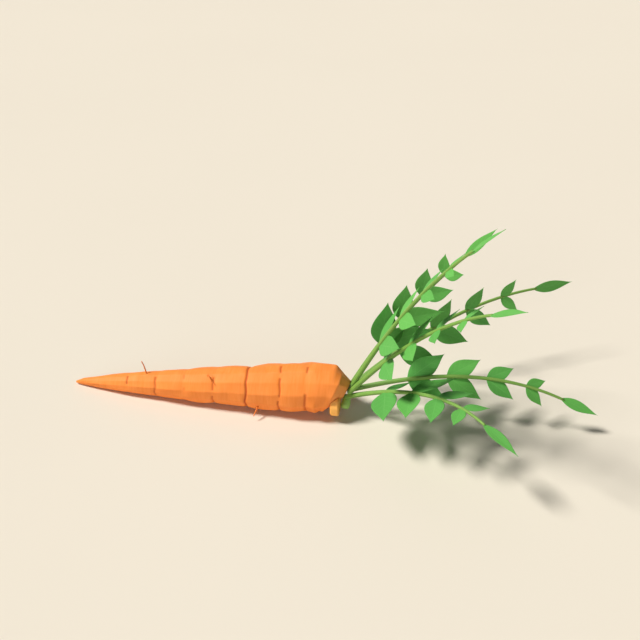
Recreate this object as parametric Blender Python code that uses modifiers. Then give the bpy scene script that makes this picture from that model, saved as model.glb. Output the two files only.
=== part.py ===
"""A whole carrot lying on its side: a faceted root, its crown, a leaf stub and six leafy fronds.

The root's long axis runs along X with the tip at -X and the crown at +X. Z is up and the root rests on
Z = 0. The origin is on the flat the root rests on, half way along the root. Sizes are in metres.
"""

import math
import random

import bmesh
import bpy
from mathutils import Matrix, Vector

# Root
ROOT_LENGTH = 0.1765
ROOT_TIP_X = -0.088
ROOT_WIDEST_X = 0.0715
ROOT_MAX_RADIUS = 0.0161
ROOT_TAPER_POWER = 0.62
ROOT_SIDES = 12
TIP_RADIUS = 0.0007
TIP_LIFT = 0.0008
TIP_RINGS_X = (-0.082, -0.073, -0.064)
RADIUS_JITTER = 0.055
RING_SHIFT = 0.0016
REST_SINK = 0.0004
FLOOR_BLOCK = (0.4, 0.1, 0.02)
ROOT_SEED = 11

# Gentle bend of the root, seen from above
BEND = 0.0026
BEND_MIDDLE_X = -0.0060
BEND_REACH = 0.080
BEND_OFFSET = -0.0010

# Growth creases round the root
CREASE_PLACES_X = (-0.0507, -0.0314, -0.0124, 0.0071, 0.0282, 0.0493, 0.0655)
CREASE_HALF_WIDTH = 0.0009
CREASE_DEPTH = 0.0011
CREASE_SHARE = 0.68

# Shoulder and crown end
SHOULDER_X = 0.0765
SHOULDER_RADIUS = 0.0152
RIM_X = 0.0805
RIM_RADIUS = 0.0153
RIM_LIFT = -0.0002
RIM_CUT = 0.26
RIM_CUT_ANGLE = 45.0
CROWN_SLANT = 0.46
CROWN_FLAT_RADIUS = 0.0060
CROWN_FLAT_X = ROOT_TIP_X + ROOT_LENGTH
CROWN_LIFT = -0.0006

# Crown button, its middle given from the middle of the crown
BUTTON_RADIUS = 0.0070
BUTTON_SIDES = 9
BUTTON_BACK_X = 0.0806
BUTTON_LENGTH = 0.0054
BUTTON_ASIDE = -0.0094
BUTTON_Z = 0.0093
BUTTON_BEVEL = 0.0008

# Root hairs: (x along the root, distance aside from its middle, height)
HAIR_BASE_RADIUS = 0.00055
HAIR_TIP_RADIUS = 0.00035
UPRIGHT_HAIR = (
    (-0.0385, 0.0005, 0.0125),
    (-0.0388, 0.0000, 0.0170),
    (-0.0400, 0.0010, 0.0206),
    (-0.0412, 0.0010, 0.0236),
)
LYING_HAIR = (
    (0.0030, -0.0030, 0.0190),
    (0.0030, -0.0046, 0.0226),
    (0.0050, -0.0072, 0.0226),
    (0.0068, -0.0094, 0.0212),
)
LOW_HAIR = (
    (0.0360, -0.0100, 0.0070),
    (0.0355, -0.0136, 0.0060),
    (0.0347, -0.0160, 0.0046),
    (0.0341, -0.0176, 0.0033),
)

# Leaf stub, its path given from the middle of the crown's flat
STUB_RADIUS = 0.0029
STUB_PATH = (
    (0.0004, 0.0002, -0.0052),
    (0.0010, -0.0012, -0.0067),
    (0.0010, -0.0032, -0.0082),
    (0.0006, -0.0050, -0.0095),
    (0.0004, -0.0060, -0.0104),
)
STUB_RADIUS_SHARES = (0.66, 0.90, 1.0, 0.98, 0.72)

# Fronds
STEM_BASE_RADIUS = 0.00160
STEM_TIP_RADIUS = 0.00080
STEM_RING_RADIUS = 0.0043
STEM_RING_ASIDE = -0.0005
STEM_LEAD = 0.0012
STEM_POINTS = 15
STEM_LENGTH = 0.136
STEM_BOW_POWER = 1.5
LEAF_NODES = (0.28, 0.46, 0.64, 0.82)
LEAF_LENGTHS = (0.0320, 0.0275, 0.0215, 0.0160)
LEAF_OUTLINE = ((0.0, 0.12), (0.15, 0.50), (0.32, 0.88), (0.48, 1.0), (0.68, 0.76), (0.86, 0.36))
LEAF_WIDTH_SHARE = 0.46
LEAF_FOLD = 0.06
LEAF_THICKNESS = 0.0007
END_LEAF_LENGTH = 0.0290
END_LEAF_WIDTH_SHARE = 0.27
END_LEAF_PLACE = 0.985
LEAF_JITTER = 0.05
ANGLE_JITTER = 3.0

GAP = 0.0003
MERGE = 0.00001


def clear_scene():
    """Empty the scene."""
    for obj in list(bpy.data.objects):
        bpy.data.objects.remove(obj, do_unlink=True)
    for group in list(bpy.data.collections):
        bpy.data.collections.remove(group)


def make_collection(name):
    """Add a collection to the scene."""
    group = bpy.data.collections.new(name)
    bpy.context.scene.collection.children.link(group)
    return group


def make_material(name, colour, roughness):
    """Make a Principled material from a linear colour."""
    material = bpy.data.materials.new(name)
    material.use_nodes = True
    shader = material.node_tree.nodes["Principled BSDF"]
    shader.inputs["Base Color"].default_value = (*colour, 1.0)
    shader.inputs["Roughness"].default_value = roughness
    shader.inputs["Metallic"].default_value = 0.0
    return material


def add_object(name, mesh, group, material):
    """Put a mesh into a collection under one name."""
    obj = bpy.data.objects.new(name, mesh)
    group.objects.link(obj)
    mesh.materials.clear()
    mesh.materials.append(material)
    return obj


def evaluated_mesh(obj):
    """The mesh of an object with its modifiers or its curve worked out."""
    bpy.context.view_layer.update()
    seen = obj.evaluated_get(bpy.context.evaluated_depsgraph_get())
    mesh = bpy.data.meshes.new_from_object(seen)
    mesh.transform(obj.matrix_world)
    return mesh


def close_and_turn_out(mesh):
    """Weld the caps of a mesh and turn its faces outward."""
    cage = bmesh.new()
    cage.from_mesh(mesh)
    bmesh.ops.remove_doubles(cage, verts=cage.verts, dist=MERGE)
    bmesh.ops.recalc_face_normals(cage, faces=cage.faces)
    cage.to_mesh(mesh)
    cage.free()


def replace_by_result(obj):
    """Keep an object's finished shape as a plain mesh of the same name."""
    mesh = evaluated_mesh(obj)
    name = obj.name
    material = obj.data.materials[0]
    group = obj.users_collection[0]
    bpy.data.objects.remove(obj, do_unlink=True)
    return add_object(name, mesh, group, material)


def make_tube(name, points, radii, group, material):
    """A round stalk through the points, with a radius at each."""
    curve = bpy.data.curves.new(name, "CURVE")
    curve.dimensions = "3D"
    curve.bevel_depth = 1.0
    curve.bevel_resolution = 1
    curve.use_fill_caps = True
    spline = curve.splines.new("POLY")
    spline.points.add(len(points) - 1)
    for spot, place, radius in zip(spline.points, points, radii):
        spot.co = (*place, 1.0)
        spot.radius = radius
    holder = bpy.data.objects.new(name + "_path", curve)
    group.objects.link(holder)
    mesh = evaluated_mesh(holder)
    bpy.data.objects.remove(holder, do_unlink=True)
    close_and_turn_out(mesh)
    return add_object(name, mesh, group, material)


def fuse(main, extras, material):
    """Join the extras to the main object with one union."""
    name = main.name
    group = main.users_collection[0]
    loose = make_collection(name + "_pieces")
    for piece in extras:
        for home in list(piece.users_collection):
            home.objects.unlink(piece)
        loose.objects.link(piece)
    union = main.modifiers.new("fuse", "BOOLEAN")
    union.operation = "UNION"
    union.solver = "EXACT"
    union.operand_type = "COLLECTION"
    union.collection = loose
    mesh = evaluated_mesh(main)
    for piece in list(loose.objects):
        bpy.data.objects.remove(piece, do_unlink=True)
    bpy.data.collections.remove(loose)
    bpy.data.objects.remove(main, do_unlink=True)
    return add_object(name, mesh, group, material)


def root_radius(x):
    """Radius of the root at x: a power law of the distance from the tip."""
    share = (x - ROOT_TIP_X) / (ROOT_WIDEST_X - ROOT_TIP_X)
    return max(TIP_RADIUS, ROOT_MAX_RADIUS * max(share, 0.0) ** ROOT_TAPER_POWER)


def root_rings():
    """Stations along the root as (x, radius, kind), the tip first."""
    rings = [(ROOT_TIP_X, TIP_RADIUS, "tip")]
    for x in TIP_RINGS_X:
        rings.append((x, root_radius(x), "plain"))
    for i, x in enumerate(CREASE_PLACES_X):
        rings.append((x, root_radius(x), "crease"))
        if i + 1 < len(CREASE_PLACES_X):
            between = (x + CREASE_PLACES_X[i + 1]) / 2
            rings.append((between, root_radius(between), "plain"))
    rings.append((ROOT_WIDEST_X, ROOT_MAX_RADIUS, "plain"))
    rings.append((SHOULDER_X, SHOULDER_RADIUS, "plain"))
    rings.append((RIM_X, RIM_RADIUS, "rim"))
    rings.append((CROWN_FLAT_X, CROWN_FLAT_RADIUS, "flat"))
    return rings


def make_root(group, cutters, material):
    """The faceted root: a turned profile whose rings are moved in and out, creased, slanted and rested."""
    chance = random.Random(ROOT_SEED)
    profile = []
    marks = []
    for number, (x, radius, kind) in enumerate(root_rings()):
        if kind == "crease":
            for offset, part in ((-CREASE_HALF_WIDTH, "edge"), (0.0, "groove"), (CREASE_HALF_WIDTH, "edge")):
                profile.append((x + offset, radius))
                marks.append((number, part))
        else:
            profile.append((x, radius))
            marks.append((number, kind))
    # Profile turned round the X axis
    mesh = bpy.data.meshes.new("root_profile")
    ends = [(profile[0][0], 0.0)] + profile + [(profile[-1][0], 0.0)]
    mesh.from_pydata(
        [(x, radius, 0.0) for x, radius in ends],
        [(i, i + 1) for i in range(len(ends) - 1)],
        [],
    )
    holder = bpy.data.objects.new("root_profile", mesh)
    group.objects.link(holder)
    turn = holder.modifiers.new("turn", "SCREW")
    turn.axis = "X"
    turn.angle = math.tau
    turn.steps = ROOT_SIDES
    turn.render_steps = ROOT_SIDES
    turn.use_smooth_shade = False
    turn.use_merge_vertices = True
    turn.merge_threshold = MERGE
    turned = evaluated_mesh(holder)
    bpy.data.objects.remove(holder, do_unlink=True)
    # One random move for each station and side, and one crease strength
    stations = len(root_rings())
    push = [[chance.uniform(-1.0, 1.0) for _ in range(ROOT_SIDES)] for _ in range(stations)]
    slide = [[chance.uniform(-1.0, 1.0) for _ in range(ROOT_SIDES)] for _ in range(stations)]
    deep = [[chance.random() < CREASE_SHARE for _ in range(ROOT_SIDES)] for _ in range(stations)]
    where = {}
    for (x, radius), mark in zip(profile, marks):
        where[round(x, 5)] = (radius, mark)
    side_angle = math.tau / ROOT_SIDES
    cage = bmesh.new()
    cage.from_mesh(turned)
    bmesh.ops.remove_doubles(cage, verts=cage.verts, dist=MERGE)
    for vert in cage.verts:
        x, y, z = vert.co
        radius, (station, kind) = where[round(x, 5)]
        reach = math.hypot(y, z)
        axis_z = root_axis_height(x)
        if reach < MERGE:
            vert.co = (x, root_axis_aside(x), axis_z)
            continue
        side = int(round(math.atan2(z, y) / side_angle)) % ROOT_SIDES
        angle = (side + 0.5) * side_angle
        steady = kind in ("tip", "flat", "rim")
        grow = 1.0 if steady else 1.0 + RADIUS_JITTER * push[station][side]
        if kind == "rim":
            grow -= RIM_CUT * max(0.0, math.cos(angle - math.radians(RIM_CUT_ANGLE)))
        if kind == "groove" and deep[station][side]:
            grow -= CREASE_DEPTH / radius
        y = reach * grow * math.cos(angle)
        z = reach * grow * math.sin(angle)
        if kind == "plain":
            x += RING_SHIFT * slide[station][side]
        if math.sin(angle) < -0.95 and x > TIP_RINGS_X[-1] and kind not in ("flat", "rim"):
            z = -REST_SINK - axis_z
        vert.co = (x + crown_slant(x) * z, y + root_axis_aside(x), z + axis_z)
    bmesh.ops.recalc_face_normals(cage, faces=cage.faces)
    cage.to_mesh(turned)
    cage.free()
    root = add_object("root", turned, group, material)
    # Hairs grow from the root
    hairs = []
    for number, course in enumerate((UPRIGHT_HAIR, LYING_HAIR, LOW_HAIR)):
        path = [(x, aside + root_axis_aside(x), z) for x, aside, z in course]
        share = [i / (len(path) - 1) for i in range(len(path))]
        radii = [HAIR_BASE_RADIUS + (HAIR_TIP_RADIUS - HAIR_BASE_RADIUS) * s for s in share]
        hairs.append(make_tube(f"hair_{number}", path, radii, group, material))
    root = fuse(root, hairs, material)
    # Flat the root rests on
    bpy.ops.mesh.primitive_cube_add(size=1.0)
    block = bpy.context.active_object
    block.name = "floor_cutter"
    block.data.transform(Matrix.Diagonal((*FLOOR_BLOCK, 1.0)))
    block.data.transform(Matrix.Translation((0.0, 0.0, -FLOOR_BLOCK[2] / 2)))
    for home in list(block.users_collection):
        home.objects.unlink(block)
    cutters.objects.link(block)
    block.hide_render = True
    block.display_type = "WIRE"
    trim = root.modifiers.new("rest", "BOOLEAN")
    trim.operation = "DIFFERENCE"
    trim.solver = "EXACT"
    trim.object = block
    return replace_by_result(root)


def ramp(x, start, end):
    """Nought before the start, one after the end, straight between."""
    return min(max((x - start) / (end - start), 0.0), 1.0)


def root_axis_height(x):
    """Height of the root's middle at x: the lowest facets lie on the floor, tip and crown end stay off it."""
    low = math.cos(math.pi / ROOT_SIDES)
    tip = TIP_LIFT * (1.0 - ramp(x, ROOT_TIP_X, TIP_RINGS_X[-1]))
    crown = RIM_LIFT * ramp(x, ROOT_WIDEST_X, RIM_X) + (CROWN_LIFT - RIM_LIFT) * ramp(x, RIM_X, CROWN_FLAT_X)
    return root_radius(min(x, ROOT_WIDEST_X)) * low + tip + crown


def root_axis_aside(x):
    """How far the root's middle lies from the X axis at x: a shallow parabola."""
    return BEND * ((x - BEND_MIDDLE_X) / BEND_REACH) ** 2 + BEND_OFFSET


def crown_slant(x):
    """How far a point leans towards the crown per metre of height: none on the body, full at the rim."""
    return CROWN_SLANT * ramp(x, ROOT_WIDEST_X, RIM_X)


def make_button(root, group, cutters, material):
    """The pale button of the crown: a short many-sided drum set into the root's end with a hairline gap."""
    bpy.ops.mesh.primitive_cylinder_add(vertices=BUTTON_SIDES, radius=BUTTON_RADIUS, depth=BUTTON_LENGTH)
    drum = bpy.context.active_object
    drum.data.transform(Matrix.Rotation(math.radians(90.0), 4, "Y"))
    middle_x = BUTTON_BACK_X + BUTTON_LENGTH / 2
    centre = (middle_x, root_axis_aside(CROWN_FLAT_X) + BUTTON_ASIDE, BUTTON_Z)
    drum.data.transform(Matrix.Translation(centre))
    soften = drum.modifiers.new("soften", "BEVEL")
    soften.width = BUTTON_BEVEL
    soften.segments = 1
    seat = bpy.data.objects.new("button_seat", root.data.copy())
    cutters.objects.link(seat)
    seat.hide_render = True
    seat.display_type = "WIRE"
    swell = seat.modifiers.new("swell", "DISPLACE")
    swell.strength = GAP
    swell.mid_level = 0.0
    cut = drum.modifiers.new("seat", "BOOLEAN")
    cut.operation = "DIFFERENCE"
    cut.solver = "EXACT"
    cut.object = seat
    mesh = evaluated_mesh(drum)
    bpy.data.objects.remove(drum, do_unlink=True)
    close_and_turn_out(mesh)
    return add_object("crown_button", mesh, group, material)


def make_stub(crown, group, material):
    """A short blunt leaf stub: it starts under the stems, steps out and hangs down in front of the crown."""
    clear_of_flat = GAP + STUB_RADIUS * CROWN_SLANT - CROWN_SLANT * STEM_RING_RADIUS
    start = Vector(crown) + Vector((clear_of_flat, 0.0, 0.0))
    points = [start + Vector(step) for step in STUB_PATH]
    radii = [STUB_RADIUS * share for share in STUB_RADIUS_SHARES]
    return make_tube("leaf_stub", points, radii, group, material)


def frond_path(base, heading, rise, turn, bend, length):
    """Points and directions of a stem that starts along X and turns more and more towards its tip."""
    points = [Vector(base)]
    directions = [Vector((1.0, 0.0, 0.0))]
    place = Vector(base) + Vector((STEM_LEAD, 0.0, 0.0))
    step = length / (STEM_POINTS - 1)
    for i in range(STEM_POINTS):
        bow = (i / (STEM_POINTS - 1)) ** STEM_BOW_POWER
        side = math.radians(heading + turn * bow)
        up = math.radians(rise + bend * bow)
        along = Vector((math.cos(up) * math.cos(side), math.cos(up) * math.sin(side), math.sin(up)))
        if i > 0:
            place = place + (along + directions[-1]).normalized() * step
        points.append(place.copy())
        directions.append(along)
    return points, directions


def path_at(points, directions, share):
    """Place and direction at a share of the way along a stem."""
    last = len(points) - 2
    spot = share * last
    low = min(int(spot), last - 1)
    part = spot - low
    place = points[low + 1].lerp(points[low + 2], part)
    along = directions[low + 1].lerp(directions[low + 2], part).normalized()
    return place, along


def leaf_mesh(name, base, along, across, length, width):
    """A pointed leaflet folded along its midrib, as a flat net made solid."""
    normal = along.cross(across).normalized()
    side = across.normalized()
    verts = []
    for share, spread in LEAF_OUTLINE:
        middle = base + along * (length * share)
        half = width * spread / 2
        lift = half * LEAF_FOLD * 2
        verts.append(middle + side * half + normal * lift)
        verts.append(middle)
        verts.append(middle - side * half + normal * lift)
    verts.append(base + along * length)
    faces = []
    for row in range(len(LEAF_OUTLINE) - 1):
        a = row * 3
        b = a + 3
        faces += [(a, a + 1, b), (a + 1, b + 1, b), (a + 1, a + 2, b + 1), (a + 2, b + 2, b + 1)]
    end = len(verts) - 1
    last = (len(LEAF_OUTLINE) - 1) * 3
    faces += [(last, last + 1, end), (last + 1, last + 2, end)]
    mesh = bpy.data.meshes.new(name)
    mesh.from_pydata([tuple(v) for v in verts], [], faces)
    return mesh


def make_leaf(name, base, along, across, length, width, group, material):
    """A leaflet thickened into a solid blade."""
    blade = add_object(name, leaf_mesh(name, base, along, across, length, width), group, material)
    thicken = blade.modifiers.new("thicken", "SOLIDIFY")
    thicken.thickness = LEAF_THICKNESS
    thicken.offset = 0.0
    thicken.use_even_offset = True
    blade = replace_by_result(blade)
    close_and_turn_out(blade.data)
    return blade


def make_frond(name, base, course, leafing, crowded, seed, group, material):
    """One frond: a tapering stem, four pairs of leaflets and an end leaflet, fused into one body."""
    chance = random.Random(seed)
    heading, rise, turn, bend, stretch = course
    roll, leaf_scale, angle, droop = leafing
    points, directions = frond_path(base, heading, rise, turn, bend, STEM_LENGTH * stretch)
    count = len(points)
    radii = [STEM_BASE_RADIUS + (STEM_TIP_RADIUS - STEM_BASE_RADIUS) * i / (count - 1) for i in range(count)]
    stem = make_tube(name, points, radii, group, material)
    leaves = []
    up = Vector((0.0, 0.0, 1.0))
    for number, share in enumerate(LEAF_NODES):
        place, along = path_at(points, directions, share)
        level = up.cross(along).normalized()
        side = Matrix.Rotation(math.radians(roll), 3, along) @ level
        normal = along.cross(side)
        for hand in (1, -1):
            length = LEAF_LENGTHS[number] * leaf_scale * (1.0 + LEAF_JITTER * chance.uniform(-1.0, 1.0))
            length *= crowded.get((number, hand), 1.0)
            spread = math.radians(angle + ANGLE_JITTER * chance.uniform(-1.0, 1.0))
            fall = math.radians(droop + ANGLE_JITTER * chance.uniform(-1.0, 1.0))
            outward = side * hand * math.cos(fall) - normal * math.sin(fall)
            lie = (along * math.cos(spread) + outward * math.sin(spread)).normalized()
            across = lie.cross(normal).normalized() * -1.0
            leaf_name = f"{name}_leaf_{number}_{hand}"
            width = length * LEAF_WIDTH_SHARE
            leaves.append(make_leaf(leaf_name, place, lie, across, length, width, group, material))
    # End leaflet, its root sunk into the stem's tip
    place, along = path_at(points, directions, END_LEAF_PLACE)
    level = up.cross(along).normalized()
    side = Matrix.Rotation(math.radians(roll), 3, along) @ level
    width = END_LEAF_LENGTH * END_LEAF_WIDTH_SHARE
    leaves.append(make_leaf(f"{name}_leaf_end", place, along, side, END_LEAF_LENGTH, width, group, material))
    return fuse(stem, leaves, material)


def frond_table():
    """Each frond's place round the crown, course, leafing, crowded leaflets and seed.

    The place is a share of the stem ring's radius and an angle in degrees round the crown's middle. The
    course is the stem's heading and rise in degrees, how much each changes on the way, and its length
    against the common stem length. The leafing is the roll of the leaf plane, the leaflets' size against
    the common one, the angle they make with the stem and how far they droop. A crowded leaflet is named by
    its pair and side, and stays at the given share of its size because it grows towards another frond.
    """
    return {
        "frond_upright": (
            (1.0, 100.0), (-13.7, 65.8, -29.8, -18.5, 1.01), (26.0, 0.83, 42.0, 10.6), {}, 3,
        ),
        "frond_far": (
            (1.0, 38.0), (39.1, 51.8, -63.8, 1.0, 0.81), (75.5, 1.02, 35.5, -33.5), {}, 5,
        ),
        "frond_back": (
            (1.0, -25.0), (39.0, 26.1, -13.5, -25.9, 1.05), (81.5, 0.96, 51.3, -23.8), {}, 7,
        ),
        "frond_front_high": (
            (1.0, 160.0), (-13.5, 54.4, -35.6, -22.5, 0.94), (14.7, 0.85, 61.0, 0.6), {}, 9,
        ),
        "frond_long": (
            (0.0, 0.0), (5.8, 17.9, -12.2, -38.3, 0.97), (37.2, 0.94, 34.9, 23.4), {(0, -1): 0.8}, 13,
        ),
        "frond_near": (
            (1.0, 222.0), (-17.8, 28.6, -34.6, -30.1, 0.76), (-3.3, 1.08, 61.6, 4.2), {(0, 1): 0.55}, 17,
        ),
    }


def build():
    """Build every piece of the carrot."""
    clear_scene()
    carrot = make_collection("carrot")
    cutters = make_collection("carrot_cutters")
    root_skin = make_material("carrot_root_skin", (0.90, 0.26, 0.045), 0.55)
    crown_cork = make_material("carrot_crown_cork", (0.90, 0.36, 0.07), 0.65)
    leaf_green = make_material("carrot_leaf", (0.10, 0.33, 0.06), 0.55)
    stalk_green = make_material("carrot_stalk", (0.18, 0.38, 0.06), 0.50)
    root = make_root(carrot, cutters, root_skin)
    make_button(root, carrot, cutters, crown_cork)
    crown = (CROWN_FLAT_X, root_axis_aside(CROWN_FLAT_X), root_axis_height(CROWN_FLAT_X))
    clear_of_flat = GAP + STEM_BASE_RADIUS * CROWN_SLANT
    for name, (place, course, leafing, crowded, seed) in frond_table().items():
        reach, degrees = place
        angle = math.radians(degrees)
        aside = STEM_RING_RADIUS * reach * math.cos(angle)
        above = STEM_RING_RADIUS * reach * math.sin(angle)
        out = CROWN_SLANT * above + clear_of_flat
        base = (crown[0] + out, crown[1] + STEM_RING_ASIDE + aside, crown[2] + above)
        make_frond(name, base, course, leafing, crowded, seed, carrot, leaf_green)
    make_stub(crown, carrot, stalk_green)


build()
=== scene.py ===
# %% [markdown]
# # A carrot with its leaves
# A whole fresh carrot lies on its side: an orange root with growth creases and three thin root hairs, a corky
# button and the butt of an old stem on its crown, and six fronds of leaflets.
#
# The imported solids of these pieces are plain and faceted. They are loaded first, and they are never moved or
# changed: they give the true places and sizes, in metres, with Z up. The root lies along X, its tip towards
# -X and its crown towards +X. Each piece is then drawn again over its solid, as a finer surface worked out
# from the same numbers, with a finish of its own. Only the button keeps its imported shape.

import math
import random

import bpy
import numpy as np
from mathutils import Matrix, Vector


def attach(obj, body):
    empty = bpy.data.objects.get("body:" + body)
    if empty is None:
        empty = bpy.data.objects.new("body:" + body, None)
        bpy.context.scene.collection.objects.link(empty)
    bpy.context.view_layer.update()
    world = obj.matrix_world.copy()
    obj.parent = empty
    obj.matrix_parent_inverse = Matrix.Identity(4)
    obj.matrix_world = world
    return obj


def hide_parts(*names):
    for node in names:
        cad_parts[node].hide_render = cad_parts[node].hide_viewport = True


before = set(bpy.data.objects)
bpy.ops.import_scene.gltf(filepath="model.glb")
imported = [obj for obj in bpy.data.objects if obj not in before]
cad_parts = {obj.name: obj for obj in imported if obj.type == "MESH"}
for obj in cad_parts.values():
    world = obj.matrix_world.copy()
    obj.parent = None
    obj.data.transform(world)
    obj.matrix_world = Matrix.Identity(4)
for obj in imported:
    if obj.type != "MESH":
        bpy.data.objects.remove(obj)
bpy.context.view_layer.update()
MM = 1000.0  # millimetres in a metre


def in_mm(place):
    """A place in metres turned to millimetres and rounded, for printing."""
    return np.round(np.array(place) * MM, 1)


# %% [markdown]
# ## Colours and shader nodes
# A hex code is sRGB, whose steps look even to the eye. Light adds up in linear numbers, so one function turns
# every code into linear light. Another adds a shader node with its settings and links, and every material
# below is written with it.


# %% Colours
def linear(code):
    """Linear RGB of an sRGB hex code: c / 12.92 up to 0.04045, else ((c + 0.055) / 1.055) ** 2.4."""
    value = np.array([int(code[i : i + 2], 16) for i in (1, 3, 5)]) / 255.0
    low = value / 12.92
    high = ((value + 0.055) / 1.055) ** 2.4
    return tuple(np.where(value <= 0.04045, low, high).tolist()) + (1.0,)


print("mid grey #808080 in linear light:", round(linear("#808080")[0], 3))

# %% Shader nodes
NOISE, MATH, MIX = "ShaderNodeTexNoise", "ShaderNodeMath", "ShaderNodeMix"
# Sockets of a Mix node for colours, by number, because its sockets for numbers have the same names
SHARE, FIRST, SECOND, MIXED = 0, 6, 7, 2


def new_material(name):
    """A node material with nothing but its Principled shader."""
    material = bpy.data.materials.new(name)
    material.use_nodes = True
    return material


def plug(material, socket, value):
    """Give one input its value: an output is linked, a hex code is set as a colour, a number as it is."""
    if isinstance(value, bpy.types.NodeSocket):
        material.node_tree.links.new(value, socket)
    elif isinstance(value, str):
        socket.default_value = linear(value)
    else:
        socket.default_value = value


def add(material, kind, entries, out=0):
    """Add one shader node and return one of its outputs. An entry with a lower-case name is a setting of the
    node. Every other entry is an input, by its name or number."""
    node = material.node_tree.nodes.new(kind)
    for key, value in entries.items():
        if isinstance(key, str) and key.islower():
            setattr(node, key, value)
        else:
            plug(material, node.inputs[key], value)
    return node.outputs[out]


def finish(material, entries):
    """Give a material's Principled shader its inputs, by name."""
    nodes = material.node_tree.nodes
    for name, value in entries.items():
        plug(material, nodes["Principled BSDF"].inputs[name], value)
    print(f"{material.name}: {len(nodes)} nodes")
    return material


# %% [markdown]
# ## Carrot skin
# Carrot skin is a thin living layer that grew against rough soil and was then washed. It is a warm orange,
# satin and without gloss. Fine rings of lighter and darker skin run round it, because the root thickened
# unevenly. Its growth creases are painted a darker brown, as painted shade of the grooves.
#
# The rings could be painted on by hand. A noise that is squeezed along the root and stretched round it draws
# them all the way round at once, so it is used here. The painted brown shade has to follow the creases exactly: it
# reads a number that is stored on the mesh where the creases are cut. A second number marks the crown end,
# which is painted paler to lift the shade that falls on it.

# %% Carrot skin
RINGS_PER_MM = 0.9  # real rings are 0.3 to 0.5 mm apart: drawn 1.1 mm apart, or they would not show
RING_SPREAD_PER_MM = 0.10  # round the root, a ring keeps its tone for about 10 mm
PATCHES_PER_MM = 0.055  # lighter and darker patches about 18 mm across
PORES_PER_MM = 1.4  # real pores are 0.1 to 0.3 mm apart: drawn 0.7 mm apart, or they would not show
PLANT_IOR = 1.42  # moist plant tissue lies between water, 1.33, and dry fibre, about 1.5
PLANT_SHINE = 0.25  # half of the usual 0.5: plant skin is too uneven to give a clear highlight
RING_RELIEF = 0.7  # height of the rings as a share of the height of the pores


def skin_material():
    """Carrot skin: two oranges in patches, darker in rings, painted paler at the crown end to lift its shade, and
    painted brown shade in the creases.
    """
    material = new_material("carrot_skin")
    place = add(material, "ShaderNodeTexCoord", {}, "Object")
    squeeze = (RINGS_PER_MM * MM, RING_SPREAD_PER_MM * MM, RING_SPREAD_PER_MM * MM)
    squeezed = add(material, "ShaderNodeMapping", {"Vector": place, "Scale": squeeze})
    rings = add(material, NOISE, {"Vector": squeezed, "Scale": 1.0, "Detail": 4.0, "Roughness": 0.55})
    patches = add(
        material, NOISE, {"Vector": place, "Scale": PATCHES_PER_MM * MM, "Detail": 2.0, "Roughness": 0.5}
    )
    pores = add(material, NOISE, {"Vector": place, "Scale": PORES_PER_MM * MM, "Detail": 3.0, "Roughness": 0.6})
    # A noise stays near its middle value, so it is spread out before it shares out two colours
    patch_share = add(material, MATH, {"operation": "MULTIPLY_ADD", 0: patches, 1: 1.6, 2: -0.3})
    ring_share = add(material, MATH, {"operation": "MULTIPLY_ADD", 0: rings, 1: 1.5, 2: -0.25})
    body = add(
        material, MIX, {"data_type": "RGBA", SHARE: patch_share, FIRST: "#FC9144", SECOND: "#FF9E54"}, MIXED
    )
    ringed = add(material, MIX, {"data_type": "RGBA", SHARE: ring_share, FIRST: "#F28632", SECOND: body}, MIXED)
    # Painted light: the crown end is painted paler than the body, to lift the shade that falls on that end
    painted_lift_end = add(material, MIX, {"data_type": "RGBA", SHARE: patches, FIRST: "#FF9E54", SECOND: "#FFA65E"}, MIXED)
    end = add(material, "ShaderNodeAttribute", {"attribute_name": "end"}, "Fac")
    ended = add(material, MIX, {"data_type": "RGBA", SHARE: end, FIRST: ringed, SECOND: painted_lift_end}, MIXED)
    # Painted shade: brown darkens the creases, where the grooves fall into shade; the root hairs carry part of the
    # same number as their own browner colour
    crease = add(material, "ShaderNodeAttribute", {"attribute_name": "crease"}, "Fac")
    crease_shade_and_hair_share = add(material, MATH, {"operation": "MINIMUM", 0: crease, 1: 1.0})
    skin = add(material, MIX, {"data_type": "RGBA", SHARE: crease_shade_and_hair_share, FIRST: ended, SECOND: "#BE5520"}, MIXED)
    roughness = add(material, MATH, {"operation": "MULTIPLY_ADD", 0: rings, 1: 0.14, 2: 0.52})
    height = add(material, MATH, {"operation": "MULTIPLY_ADD", 0: rings, 1: RING_RELIEF, 2: pores})
    bump = add(material, "ShaderNodeBump", {"Strength": 0.22, "Distance": 0.00012, "Height": height})
    return finish(material, {
        "Base Color": skin, "Roughness": roughness, "IOR": PLANT_IOR,
        "Specular IOR Level": PLANT_SHINE, "Normal": bump,
    })


skin = skin_material()

# %% [markdown]
# ## Crown cork
# The plant seals the scars of old leaves on its crown with cork, a dry tissue of dead cells. To the eye it is
# a dull orange yellow with a coarse grain and darker spots. A noise draws the grain, both as colour and as a
# small bump, and the middles of Voronoi cells draw the spots.

# %% Crown cork
GRAIN_PER_MM = 0.45  # uneven lumps of scar tissue about 2 mm across
SPOTS_PER_MM = 0.9  # real spots are about 0.3 mm apart: drawn 1.1 mm apart, or they would not show
SPOT_EDGE = 2.2  # a spot fades out at 1 / 2.2 of a cell's width from its middle
SPOT_STRENGTH = 0.35


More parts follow.
